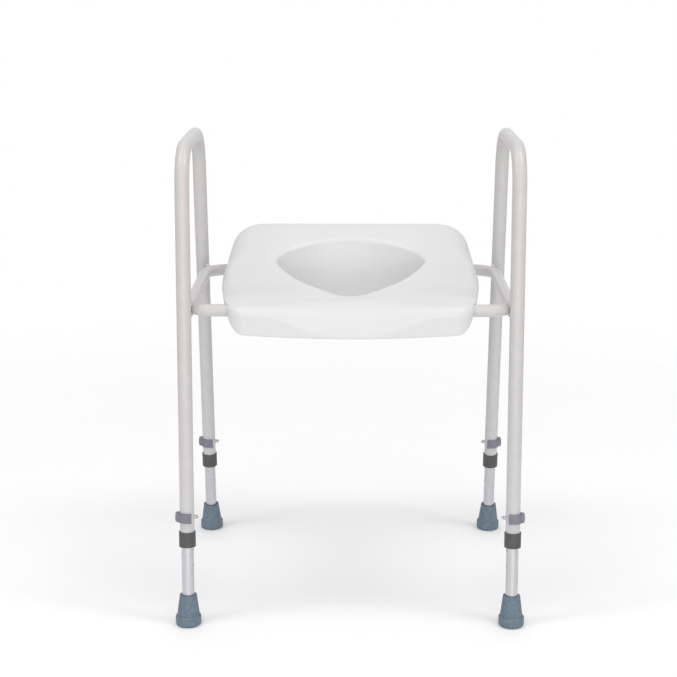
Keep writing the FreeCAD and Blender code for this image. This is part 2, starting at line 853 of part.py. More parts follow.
def saddle_bosses():
    """Pillars under the seat that the saddle flanges screw to."""
    bosses = []
    inner = size("rail_radius") + size("saddle_play") + size("saddle_wall") + size("thread_room")
    for name, (side, end) in LEGS.items():
        x, y = saddle_centre(side, end)
        for row, (near, far) in (
            ("front", (-size("saddle_flange_reach"), -inner)),
            ("back", (inner, size("saddle_flange_reach"))),
        ):
            half = size("saddle_length") / 2
            bosses.append(box(
                f"boss_{name}_{row}",
                (x - half, y + near, size("saddle_flange_top")),
                (x + half, y + far, size("seat_limit")),
            ))
    return bosses


def rail_notches():
    """Slots in the sides of the seat that let the two rails pass under it."""
    half = size("rail_radius") + size("rail_notch_play")
    top = size("rail_height") + half
    inside = size("seat_half_width") * 0.8
    outside = size("seat_half_width") + size("cut_margin")
    notches = []
    for name, end in (("front", -1), ("rear", 1)):
        y = size("rail_reach") * end
        for side_name, low, high in (
            ("left", -outside, -inside),
            ("right", inside, outside),
        ):
            notches.append(box(
                f"notch_{name}_{side_name}",
                (low, y - half, size("apron_bottom") - size("cut_margin")),
                (high, y + half, top),
            ))
    return notches


def screw_places():
    for name, (side, end) in LEGS.items():
        x, y = saddle_centre(side, end)
        for row, way in (("front", -1), ("back", 1)):
            yield f"{name}_{row}", x, y + size("screw_offset") * way


def screw_holes():
    holes = []
    for name, x, y in screw_places():
        hole = doc.addObject("Part::Cylinder", f"screw_hole_{name}")
        bind(hole, "Radius", size("screw_radius") + size("fit_play"))
        bind(hole, "Height", size("screw_depth") + size("thread_room"))
        move_to(hole, x, y, size("saddle_flange_top") - size("socket_play"))
        holes.append(hole)
    return holes


def saddle_recesses():
    """Shallow pockets over the crowns of the saddles."""
    recesses = []
    play = size("recess_play")
    half, crown = size("saddle_length") / 2 + play, size("saddle_recess")
    for name, (side, end) in LEGS.items():
        x, y = saddle_centre(side, end)
        recesses.append(box(
            f"recess_{name}",
            (x - half, y - crown, size("saddle_shoulder")),
            (x + half, y + crown, size("saddle_web_top") + size("socket_play")),
        ))
    return recesses


def apron_band():
    """Half the length, along Y, of the part of the seat that has no apron."""
    return size("rail_reach") + size("rail_radius") + size("rail_notch_play")


def apron_strip(name, low_y, high_y):
    """Stock for one apron: a bar across the seat with round lower corners."""
    half, bottom = size("apron_half_width"), size("apron_bottom")
    bar = box(f"{name}_bar", (-half, low_y, bottom), (half, high_y, size("rim_bottom") + 1))
    doc.recompute()
    lower = []
    for number, edge in enumerate(bar.Shape.Edges, start=1):
        if edge.BoundBox.YLength > 1 and abs(edge.CenterOfMass.z - sheet.get("apron_bottom")) < 1:
            lower.append((number, sheet.get("apron_corner"), sheet.get("apron_corner")))
    rounded = doc.addObject("Part::Fillet", name)
    rounded.Base = bar
    rounded.Edges = lower
    return rounded


def aprons():
    """The deeper edge in front of the front rail and behind the rear one."""
    inset, band = size("apron_inset"), apron_band()
    strips = fused("apron_strips", [
        apron_strip("front_apron", -size("seat_front"), -band),
        apron_strip("rear_apron", band, size("seat_rear")),
    ])
    plan = plan_column("apron_plan", size("apron_bottom"), size("rim_bottom") + 1, inset)
    return common("aprons", [strips, plan])


def seat_inside(wall, bottom):
    """The space inside the seat's walls, open below; it narrows where the aprons are."""
    low_top = size("rim_bottom") + wall + 1
    half, band = size("seat_half_width"), apron_band() - wall
    middle = common("inside_middle", [
        plan_column("inside_sides", bottom, low_top, wall),
        box("inside_band", (-half, -band, bottom), (half, band, low_top)),
    ])
    return [
        middle,
        plan_column("inside_aprons", bottom, low_top, size("apron_inset") + wall),
        plan_column("inside_rim", size("rim_bottom") + wall, size("seat_limit"), wall),
    ]


def make_seat_shell(label):
    """The moulding: a hollow body open below, with a funnel left standing in it."""
    limit, bottom, margin = size("seat_limit"), size("funnel_bottom"), size("cut_margin")
    wall, rim = size("seat_wall"), size("rim_bottom")
    across, along = size("opening_half_width"), size("opening_front")
    stock = box("funnel_stock", (-across, -along, bottom), (across, along, rim))
    outside = fused("outside", [plan_column("rim", rim, limit, ZERO), aprons(), stock])
    outer = common("outer", [outside, under_seat_surface("upper_surface", 0.0)])
    inside = fused("inside", seat_inside(wall, bottom - margin))
    inner = common("inner", [inside, under_seat_surface("lower_surface", float(wall))])
    low, high = float(bottom - margin * 2), float(limit + margin * 2)
    kept_inside = [funnel("funnel_kept", low, high, -float(wall)), *saddle_bosses()]
    hollow = cut("hollow", inner, fused("kept_inside", kept_inside))
    shell = cut("shell", outer, hollow)
    passages = [funnel("funnel_inside", low, high, 0.0)]
    passages += rail_notches() + saddle_recesses() + screw_holes()
    return kept(cut(label, shell, fused("passages", passages)), label)


def make_saddle(label, side, end):
    """Open-bottomed trough that sits over a rail, with two screw flanges."""
    body = new_body(label)
    trough = size("rail_radius") + size("saddle_play")
    wall = trough + size("saddle_wall")
    half = size("saddle_length") / 2
    profile = new_sketch(body, "profile", "YZ_Plane")
    reach = size("saddle_flange_reach")
    low, high = size("saddle_flange_bottom"), size("saddle_flange_top") - size("fit_play")
    draw_polygon(profile, [
        (-wall, size("saddle_arm_bottom")), (wall, size("saddle_arm_bottom")),
        (wall, low), (reach, low), (reach, high), (wall, high),
        (wall, size("saddle_shoulder")), (size("saddle_crown"), size("saddle_web_top")),
        (-size("saddle_crown"), size("saddle_web_top")), (-wall, size("saddle_shoulder")),
        (-wall, high), (-reach, high), (-reach, low), (-wall, low),
    ])
    pad(body, profile, half * 2, midplane=True)
    bore = new_sketch(body, "bore", "YZ_Plane")
    draw_circle(bore, ZERO, size("rail_height"), trough)
    pocket_through(body, bore)
    mouth = new_sketch(body, "mouth", "YZ_Plane")
    below = size("saddle_arm_bottom") - size("cut_margin")
    draw_polygon(mouth, [
        (-trough, below), (trough, below),
        (trough, size("rail_height")), (-trough, size("rail_height")),
    ])
    pocket_through(body, mouth)
    holes = new_sketch(body, "screw_holes", "XY_Plane")
    for way in (-1, 1):
        draw_circle(holes, ZERO, size("screw_offset") * way, size("screw_radius") + size("screw_play"))
    pocket_through(body, holes)
    x, y = saddle_centre(side, end)
    move_to(body, x=x, y=y)
    return kept(body, label)


def make_saddle_screws(label):
    screws = []
    for name, x, y in screw_places():
        head = doc.addObject("Part::Cylinder", f"screw_head_{name}")
        bind(head, "Radius", size("screw_head_radius"))
        bind(head, "Height", size("screw_head_height"))
        move_to(head, x, y, size("saddle_flange_bottom") - size("screw_head_height") - size("fit_play"))
        shank = doc.addObject("Part::Cylinder", f"screw_shank_{name}")
        bind(shank, "Radius", size("screw_radius"))
        grip = size("saddle_flange_top") - size("saddle_flange_bottom")
        bind(shank, "Height", grip + size("screw_depth") + size("thread_room"))
        move_to(shank, x, y, size("saddle_flange_bottom") - size("thread_room"))
        screws.append(fused(f"screw_{name}", [head, shank]))
    group = doc.addObject("Part::Compound", label)
    group.Links = screws
    return kept(group, label)


# ---------------------------------------------------------------- assembly

make_side_frame("side_frame_left", -1)
make_side_frame("side_frame_right", 1)
make_rail("front_rail", -1)
make_rail("rear_rail", 1)
make_rail_sleeve("rail_sleeve_left", -1)
make_rail_sleeve("rail_sleeve_right", 1)
for leg_name, (leg_side, leg_end) in LEGS.items():
    make_rail_weld(f"rail_weld_{leg_name}", leg_side, leg_end)
    make_collar(f"leg_collar_{leg_name}", leg_side, leg_end)
    make_leg_extension(f"leg_extension_{leg_name}", leg_side, leg_end)
    make_foot(f"foot_ferrule_{leg_name}", leg_side, leg_end)
    make_washer(f"foot_washer_{leg_name}", leg_side, leg_end)
    make_clip(f"adjuster_clip_{leg_name}", leg_side, leg_end)
    make_clip_pin(f"clip_pin_{leg_name}", leg_side, leg_end)
make_seat_shell("seat_shell")
for saddle_name, (saddle_side, saddle_end) in LEGS.items():
    make_saddle(f"seat_saddle_{saddle_name}", saddle_side, saddle_end)
make_saddle_screws("saddle_screws")

doc.recompute()
for thing in doc.Objects:
    if "Invalid" in thing.State or "Error" in thing.State:
        raise RuntimeError(f"{thing.Label} did not recompute: {thing.State}")
for thing in PARTS:
    shape = thing.Shape
    if shape.isNull() or not shape.isValid() or not shape.Solids:
        raise RuntimeError(f"{thing.Label} has no valid solid")

os.makedirs("parts", exist_ok=True)
for thing in PARTS:
    thing.Shape.exportStep(f"parts/{thing.Label}.step")
    print(f"{thing.Label}: {len(thing.Shape.Solids)} solid(s), {thing.Shape.Volume / 1000:.1f} cm3")
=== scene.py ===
import math

import bmesh
import bpy
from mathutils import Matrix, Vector


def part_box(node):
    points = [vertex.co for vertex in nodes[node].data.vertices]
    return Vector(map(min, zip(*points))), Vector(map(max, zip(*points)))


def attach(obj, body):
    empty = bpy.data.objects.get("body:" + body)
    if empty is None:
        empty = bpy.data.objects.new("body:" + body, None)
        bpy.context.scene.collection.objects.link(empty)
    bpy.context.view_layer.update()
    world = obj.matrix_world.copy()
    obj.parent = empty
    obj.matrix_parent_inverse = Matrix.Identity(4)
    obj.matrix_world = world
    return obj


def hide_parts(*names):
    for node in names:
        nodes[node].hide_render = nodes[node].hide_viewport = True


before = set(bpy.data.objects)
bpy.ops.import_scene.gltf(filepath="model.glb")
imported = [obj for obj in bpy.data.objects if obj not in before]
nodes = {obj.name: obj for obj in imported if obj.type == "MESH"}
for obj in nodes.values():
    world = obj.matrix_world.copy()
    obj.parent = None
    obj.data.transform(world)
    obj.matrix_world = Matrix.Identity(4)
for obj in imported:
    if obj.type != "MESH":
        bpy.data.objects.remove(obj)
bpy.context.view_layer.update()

MM = 0.001
LEGS = ("front_left", "front_right", "rear_left", "rear_right")
LEG_SPLAY = math.radians(5.83)


# ---------------------------------------------------------------- camera, light and floor

CAMERA_PLACE = (-0.002, -2.263, 1.006)
CAMERA_PITCH = math.radians(14.82)
CAMERA_TURN = math.radians(0.43)
CAMERA_LENS = 76.9
FLOOR_REACH = 40.0
FLOOR_FADE_START, FLOOR_FADE_END = 0.6, 1.9


def make_camera():
    data = bpy.data.cameras.new("camera")
    data.lens = CAMERA_LENS
    data.sensor_width = 36
    data.clip_end = 100
    camera = bpy.data.objects.new("camera", data)
    camera.location = CAMERA_PLACE
    camera.rotation_euler = (math.pi / 2 - CAMERA_PITCH, 0, CAMERA_TURN)
    bpy.context.scene.collection.objects.link(camera)
    bpy.context.scene.camera = camera


def make_softbox(name, place, target, width, height, power):
    """A rectangular area light that faces a target."""
    data = bpy.data.lights.new(name, "AREA")
    data.shape = "RECTANGLE"
    data.size, data.size_y = width, height
    data.energy = power
    lamp = bpy.data.objects.new(name, data)
    lamp.location = place
    lamp.rotation_euler = (Vector(target) - Vector(place)).to_track_quat("-Z", "Y").to_euler()
    bpy.context.scene.collection.objects.link(lamp)


def world_strength(tree, level, sides, front_extra):
    """World light by direction: weaker along X, and stronger the further forward it is."""
    direction = tree.nodes.new("ShaderNodeTexCoord")
    split = tree.nodes.new("ShaderNodeSeparateXYZ")
    tree.links.new(direction.outputs["Generated"], split.inputs[0])
    squared = tree.nodes.new("ShaderNodeMath")
    squared.operation = "POWER"
    squared.inputs[1].default_value = 2
    tree.links.new(split.outputs["X"], squared.inputs[0])
    strength = tree.nodes.new("ShaderNodeMapRange")
    strength.inputs["To Min"].default_value = level
    strength.inputs["To Max"].default_value = sides
    tree.links.new(squared.outputs[0], strength.inputs["Value"])
    extra = tree.nodes.new("ShaderNodeMapRange")
    extra.inputs["From Min"].default_value = -1
    extra.inputs["From Max"].default_value = 0
    extra.inputs["To Min"].default_value = front_extra
    extra.inputs["To Max"].default_value = 0
    tree.links.new(split.outputs["Y"], extra.inputs["Value"])
    total = tree.nodes.new("ShaderNodeMath")
    tree.links.new(strength.outputs["Result"], total.inputs[0])
    tree.links.new(extra.outputs["Result"], total.inputs[1])
    return total.outputs[0]


def make_world(level, sides, front_extra):
    """Soft studio light, with a white backdrop where the camera sees past the floor."""
    world = bpy.data.worlds.new("studio")
    world.use_nodes = True
    tree = world.node_tree
    light = tree.nodes["Background"]
    light.inputs["Color"].default_value = (1, 1, 1, 1)
    tree.links.new(world_strength(tree, level, sides, front_extra), light.inputs["Strength"])
    backdrop = tree.nodes.new("ShaderNodeBackground")
    backdrop.inputs["Color"].default_value = (1, 1, 1, 1)
    backdrop.inputs["Strength"].default_value = 1.0
    rays = tree.nodes.new("ShaderNodeLightPath")
    either = tree.nodes.new("ShaderNodeMixShader")
    tree.links.new(rays.outputs["Is Camera Ray"], either.inputs[0])
    tree.links.new(light.outputs[0], either.inputs[1])
    tree.links.new(backdrop.outputs[0], either.inputs[2])
    tree.links.new(either.outputs[0], tree.nodes["World Output"].inputs["Surface"])
    bpy.context.scene.world = world


def make_floor():
    mesh = bpy.data.meshes.new("floor")
    corners = [(x * FLOOR_REACH, y * FLOOR_REACH, 0) for x, y in ((-1, -1), (1, -1), (1, 1), (-1, 1))]
    mesh.from_pydata(corners, [], [(0, 1, 2, 3)])
    floor = bpy.data.objects.new("floor", mesh)
    bpy.context.scene.collection.objects.link(floor)
    return floor


# ---------------------------------------------------------------- materials


# places of the colour sockets on a Mix node
MIX_COLOR_A, MIX_COLOR_B, MIX_COLOR_RESULT = 6, 7, 2


class Shader:
    """A node material under construction, with short helpers for its nodes."""

    def __init__(self, name, color, roughness, **constants):
        self.material = bpy.data.materials.new(name)
        self.material.use_nodes = True
        self.tree = self.material.node_tree
        self.surface = self.tree.nodes["Principled BSDF"]
        self.surface.inputs["Base Color"].default_value = (*color, 1)
        self.surface.inputs["Roughness"].default_value = roughness
        for socket, value in constants.items():
            self.surface.inputs[socket.replace("_", " ")].default_value = value
        self.color = color

    def node(self, kind, **settings):
        node = self.tree.nodes.new(kind)
        for key, value in settings.items():
            if hasattr(node, key):
                setattr(node, key, value)
            else:
                node.inputs[key.replace("_", " ")].default_value = value
        return node

    def link(self, source, target):
        self.tree.links.new(source, target)

    def place(self, scale=(1, 1, 1), turn=(0, 0, 0)):
        """Object coordinates, turned and then scaled."""
        coordinates = self.node("ShaderNodeTexCoord")
        mapping = self.node("ShaderNodeMapping", Scale=scale, Rotation=turn)
        self.link(coordinates.outputs["Object"], mapping.inputs["Vector"])
        return mapping.outputs["Vector"]

    def noise(self, where, scale, detail=2.0):
        noise = self.node("ShaderNodeTexNoise", Scale=scale, Detail=detail)
        self.link(where, noise.inputs["Vector"])
        return noise.outputs["Fac"]

    def spread(self, value, low=0.0, high=1.0, start=0.3, end=0.7):
        """Maps the middle of a noise to low..high."""
        ranges = {"From_Min": start, "From_Max": end, "To_Min": low, "To_Max": high}
        spread = self.node("ShaderNodeMapRange", **ranges)
        self.link(value, spread.inputs["Value"])
        return spread.outputs["Result"]

    def tint(self, factor, other):
        """Base colour between the main colour and another, by factor."""
        mix = self.node("ShaderNodeMix", data_type="RGBA")
        mix.inputs[MIX_COLOR_A].default_value = (*self.color, 1)
        mix.inputs[MIX_COLOR_B].default_value = (*other, 1)
        self.link(factor, mix.inputs["Factor"])
        self.link(mix.outputs[MIX_COLOR_RESULT], self.surface.inputs["Base Color"])

    def rough(self, value):
        self.link(value, self.surface.inputs["Roughness"])

    def bump(self, height, distance, strength):
        bump = self.node("ShaderNodeBump", Strength=strength, Distance=distance)
        self.link(height, bump.inputs["Height"])
        self.link(bump.outputs["Normal"], self.surface.inputs["Normal"])


def tuned(color, gain):
    """A colour made darker or paler."""
    return tuple(channel * gain for channel in color)


def floor_paint():
    """Pale floor that fades into the backdrop away from the object."""
    shader = Shader("floor_paint", (0.965, 0.965, 0.965), 0.6, Specular_IOR_Level=0.2)
    where = shader.place()
    shader.tint(shader.spread(shader.noise(where, 3.0)), (0.955, 0.955, 0.957))
    away = shader.node("ShaderNodeVectorMath", operation="LENGTH")
    shader.link(where, away.inputs[0])
    ranges = {"From_Min": FLOOR_FADE_START, "From_Max": FLOOR_FADE_END, "To_Min": 1, "To_Max": 0}
    fade = shader.node("ShaderNodeMapRange", **ranges)
    fade.interpolation_type = "SMOOTHSTEP"
    shader.link(away.outputs["Value"], fade.inputs["Value"])
    shader.link(fade.outputs["Result"], shader.surface.inputs["Alpha"])
    return shader.material


def powder_coat():
    """Satin powder coat: fine orange peel and a faint mottle."""
    color = (0.545, 0.528, 0.525)
    shader = Shader("powder_coat", color, 0.36, Coat_Weight=0.15, Coat_Roughness=0.2)
    where = shader.place()
    shader.tint(shader.spread(shader.noise(where, 60.0)), tuned(color, 0.95))
    shader.rough(shader.spread(shader.noise(where, 240.0), 0.32, 0.42))
    peel = shader.noise(where, 900.0, detail=1.0)
    shader.bump(peel, 0.05 * MM, strength=0.35)
    return shader.material


def seat_plastic():
    """White moulded polypropylene: faint flow marks and a soft gloss that varies a little."""
    color = (0.652, 0.652, 0.659)
    shader = Shader("seat_plastic", color, 0.36)
    where = shader.place()
    shader.tint(shader.spread(shader.noise(where, 7.0, detail=1.0)), tuned(color, 0.985))
    shader.rough(shader.spread(shader.noise(where, 30.0, detail=1.0), 0.33, 0.39))
    return shader.material


def drawn_aluminium(name, lean):
    """Satin drawn tube: fine lines along the leg, which leans by the given angle."""
    color = (0.62, 0.62, 0.65)
    shader = Shader(name, color, 0.3, Metallic=1.0)
    lines = shader.place(scale=(1, 1, 0.015), turn=(lean, 0, 0))
    streak = shader.noise(lines, 900.0, detail=3.0)
    shader.tint(shader.spread(streak), tuned(color, 0.86))
    shader.rough(shader.spread(streak, 0.22, 0.38))
    shader.bump(streak, 0.02 * MM, strength=0.3)
    return shader.material


def matte_plastic(name, color, roughness):
    """Moulded plastic with a spark-eroded grain and slightly darker patches."""
    shader = Shader(name, color, roughness)
    where = shader.place()
    shader.tint(shader.spread(shader.noise(where, 120.0)), tuned(color, 0.85))
    shader.rough(shader.spread(shader.noise(where, 300.0), roughness - 0.07, roughness + 0.07))
    shader.bump(shader.noise(where, 1100.0), 0.06 * MM, strength=0.5)
    return shader.material


def foot_rubber():
    """Blue-grey rubber with a bloom of paler dust."""
    shader = Shader("foot_rubber", (0.098, 0.143, 0.183), 0.55)
    where = shader.place()
    bloom = shader.spread(shader.noise(where, 160.0, detail=5.0), start=0.35, end=0.75)
    shader.tint(bloom, (0.15, 0.2, 0.24))
    shader.rough(shader.spread(shader.noise(where, 260.0), 0.48, 0.66))
    shader.bump(shader.noise(where, 700.0, detail=3.0), 0.08 * MM, strength=0.5)
    return shader.material


def zinc_steel():
    """Zinc-plated steel with fine darker and duller patches."""
    color = (0.55, 0.55, 0.56)
    shader = Shader("zinc_steel", color, 0.3, Metallic=1.0)
    where = shader.place()
    patch = shader.noise(where, 500.0, detail=3.0)
    shader.tint(shader.spread(patch), tuned(color, 0.75))
    shader.rough(shader.spread(patch, 0.22, 0.4))
    return shader.material


def paint_node(name, material):
    """Gives one CAD node its material."""
    slots = nodes[name].material_slots
    if not slots:
        nodes[name].data.materials.append(material)
    for slot in slots:
        slot.material = material


# ---------------------------------------------------------------- seat

# plan outline
SEAT_LOW, SEAT_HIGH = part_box("seat_shell")
SEAT_HALF_WIDTH = SEAT_HIGH.x
SEAT_FRONT, SEAT_REAR = -SEAT_LOW.y, SEAT_HIGH.y
FRONT_CORNER, REAR_CORNER = 20 * MM, 48 * MM
SIDE_BOW_RADIUS, SIDE_BOW_PLACE = 1062 * MM, 40 * MM
FRONT_BOW_RADIUS = 1751 * MM

# skirts: deep aprons in front and behind, shallower sides
APRON_BOTTOM, SIDE_BOTTOM = 454 * MM, 478 * MM
APRON_HALF_WIDTH, APRON_CORNER, APRON_REACH = 187 * MM, 26 * MM, 158 * MM
APRON_BOW = 5 * MM
SKIRT_DRAFT = 0.125
SKIRT_EDGE_RADIUS = 2.6 * MM

# opening and funnel
OPENING_HALF_WIDTH = 119 * MM
OPENING_WAIST = 28 * MM
OPENING_FRONT, OPENING_REAR = 107.5 * MM, 94 * MM
ARCH_BLUNTNESS, VEE_FULLNESS, VEE_SHARPNESS = 1.85, 1.8, 0.98
LIP_RADIUS = 7 * MM
FUNNEL_BOTTOM = SEAT_LOW.z
FUNNEL_TAPER = 13 * MM

# deck
LOBE_FRONT_HEIGHT, LOBE_FRONT_PLACE = 500 * MM, -175 * MM
LOBE_SLOPE, REAR_SLOPE = 0.127, 0.3375
CREASE_INNER, CREASE_OUTER = 3 * MM, 29 * MM
CREASE_BEND_START, CREASE_BEND_END = 120 * MM, 175 * MM
CREASE_SOFTNESS, RIDGE_SOFTNESS = 10 * MM, 5 * MM
RIDGE_HEIGHT = 569 * MM
DISH_DEPTH, DISH_SPREAD = 5 * MM, 42 * MM
DISH_PLACE = (118 * MM, -68 * MM)
DIP_DEPTH, DIP_WIDTH = 6 * MM, 36 * MM
DIP_FRONT_START, DIP_FRONT_END = -150 * MM, -90 * MM
DIP_REAR_START = -60 * MM

# rounded rim: how far it reaches inward and where it starts, at the sides, the front, the
# middle of the front and the rear wings
RIM_WIDTH_SIDE, RIM_WIDTH_FRONT, RIM_WIDTH_MIDDLE = 16 * MM, 13 * MM, 42 * MM
RIM_LEVEL_SIDE, RIM_LEVEL_FRONT, RIM_DROP_MIDDLE = 503 * MM, 487 * MM, 30 * MM
FRONT_WIDTH_START, FRONT_WIDTH_END = 120 * MM, 170 * MM
FRONT_LEVEL_START, FRONT_LEVEL_END = 125 * MM, 172 * MM
MIDDLE_START, MIDDLE_END = 30 * MM, 140 * MM
WING_START, WING_END = 21 * MM, 79 * MM
WING_RADIUS = 38 * MM
TOP_PROBE_SHARE = 0.1

# wall, the slots for the rails and the screw bosses
SEAT_WALL = 2.8 * MM
SLOT_PLAY = 0.7 * MM
SLOT_INNER_SHARE, SLOT_OUTER_SHARE = 0.8, 1.1
BOSS_INNER, BOSS_OUTER = 12.6 * MM, 21 * MM
BOSS_BOTTOM, BOSS_COVER = 492 * MM, 1.9 * MM

# mesh fineness: stations round the seat, steps along each part of a station's loop
STATIONS = 720
EDGE_STEPS, SKIRT_STEPS, ROUND_STEPS, DECK_STEPS, LIP_STEPS, FUNNEL_STEPS = 5, 14, 18, 30, 9, 12
INNER_FUNNEL_STEPS, INNER_DECK_STEPS, INNER_ROUND_STEPS, INNER_SKIRT_STEPS = 6, 12, 8, 8
SLOT_ARC_STEPS = 16
SEARCH_STEPS = 40
SHARP_ANGLE = math.radians(40)


def smooth_step(value, low, high):
    part = min(max((value - low) / (high - low), 0.0), 1.0)
    return part * part * (3 - 2 * part)


def blend(low, high, share):
    return low + (high - low) * share


def soft_ramp(value, width):
    """0 for a negative value and the value itself for a positive one, with a round corner."""
    return 0.5 * (value + math.hypot(value, width))


def deck_height(x, y):
    """Height of the seat's upper surface: thigh lobes, each with a shallow dish, that rise
    to a crease, a steeper slope behind it up to a level ridge, and a dip at the front."""
    outward = smooth_step(abs(x), CREASE_BEND_START, CREASE_BEND_END)
    crease = blend(CREASE_INNER, CREASE_OUTER, outward)
    height = LOBE_FRONT_HEIGHT + LOBE_SLOPE * (y - LOBE_FRONT_PLACE)
    height += (REAR_SLOPE - LOBE_SLOPE) * soft_ramp(y - crease, CREASE_SOFTNESS)
    height -= soft_ramp(height - RIDGE_HEIGHT, RIDGE_SOFTNESS)
    away = math.hypot(abs(x) - DISH_PLACE[0], y - DISH_PLACE[1]) / DISH_SPREAD
    height -= DISH_DEPTH * math.exp(-away * away)
    forward = smooth_step(y, DIP_FRONT_START, DIP_FRONT_END)
    forward *= 1 - smooth_step(y, DIP_REAR_START, CREASE_OUTER)
    return height - DIP_DEPTH * math.exp(-(x / DIP_WIDTH) ** 2) * forward


def outermost(turn, inside):
    """The last point in a direction from the middle for which the inside test holds."""
    way = Vector((math.sin(turn), -math.cos(turn)))
    low, high = 0.0, 2 * SEAT_HALF_WIDTH
    for _ in range(SEARCH_STEPS):
        middle = (low + high) / 2
        low, high = (middle, high) if inside(way * middle) else (low, middle)
    return way * low


def in_seat_plan(point):
    """The seat's outline: bowed sides and front, a flat rear and round corners."""
    bow = (point.y - SIDE_BOW_PLACE) ** 2 / (2 * SIDE_BOW_RADIUS)
    out_x = abs(point.x) - (SEAT_HALF_WIDTH - bow)
    if point.y < 0:
        out_y = -point.y - (SEAT_FRONT - point.x ** 2 / (2 * FRONT_BOW_RADIUS))
        corner = FRONT_CORNER
    else:
        out_y, corner = point.y - SEAT_REAR, REAR_CORNER
    over_x, over_y = out_x + corner, out_y + corner
    if over_x > 0 and over_y > 0:
        return math.hypot(over_x, over_y) < corner
    return max(over_x, over_y) < corner


def in_opening_plan(point, inset=0.0):
    """The opening's outline: a blunt arch behind its waist and a V in front."""
    x = abs(point.x) / (OPENING_HALF_WIDTH - inset)
    y = point.y - OPENING_WAIST
    if x >= 1:
        return False
    if y > 0:
        arch = (1 - x ** ARCH_BLUNTNESS) ** (1 / ARCH_BLUNTNESS)
        return y / (OPENING_REAR - OPENING_WAIST - inset) < arch
    return -y / (OPENING_FRONT + OPENING_WAIST - inset) < (1 - x ** VEE_FULLNESS) ** VEE_SHARPNESS


def in_throat_plan(point):
    """The outline of the funnel's lower mouth."""
    return in_opening_plan(point, FUNNEL_TAPER)


def inward_normals(outline):
    """Unit normals of a closed plan outline that point to its inside."""
    normals = []
    for i in range(len(outline)):
        along = outline[(i + 1) % len(outline)] - outline[i - 1]
        normals.append(Vector((-along.y, along.x)).normalized())
    return normals


def rim_shape(point):
    """Width and lowest level of the rounded edge at a point of the outline."""
    behind = smooth_step(point.y, WING_START, WING_END)
    front = smooth_step(-point.y, FRONT_WIDTH_START, FRONT_WIDTH_END)
    middle = (1 - smooth_step(abs(point.x), MIDDLE_START, MIDDLE_END)) * front
    width = blend(blend(RIM_WIDTH_SIDE, RIM_WIDTH_FRONT, front), RIM_WIDTH_MIDDLE, middle)
    width = blend(width, WING_RADIUS, behind)
    forward = smooth_step(-point.y, FRONT_LEVEL_START, FRONT_LEVEL_END)
    level = blend(RIM_LEVEL_SIDE, RIM_LEVEL_FRONT, forward)
    level -= RIM_DROP_MIDDLE * middle
    top = deck_height(*point.lerp(Vector((0, 0)), TOP_PROBE_SHARE))
    return width, max(level, blend(level, top - WING_RADIUS, behind))


def edge_height(x, y):
    """Height of the seat's upper surface where its front or rear edge rounds it off."""
    edge = SEAT_REAR if y > 0 else SEAT_FRONT - x ** 2 / (2 * FRONT_BOW_RADIUS)
    width, level = rim_shape(Vector((x, math.copysign(edge, y))))
    short = min(max(1 - (edge - abs(y)) / width, 0), 1)
    return blend(level, deck_height(x, y), math.sqrt(1 - short ** 2))


def lower_level(point):
    """Level of the seat's lower edge: deep aprons in front and behind, rounded up to the
    shallower sides, which the rails pass under."""
    if abs(point.y) < APRON_REACH:
        return SIDE_BOTTOM
    over = min(max(abs(point.x) - (APRON_HALF_WIDTH - APRON_CORNER), 0), APRON_CORNER)
    rise = APRON_CORNER - math.sqrt(APRON_CORNER ** 2 - over ** 2)
    return APRON_BOTTOM + rise + APRON_BOW * (point.x / APRON_HALF_WIDTH) ** 2


def skirt_inset(height, inward):
    """How far the seat's skirt has drawn in from the rim at a height. The front and rear
    skirts are upright."""
    return max(RIM_LEVEL_SIDE - height, 0) * SKIRT_DRAFT * abs(inward.x)


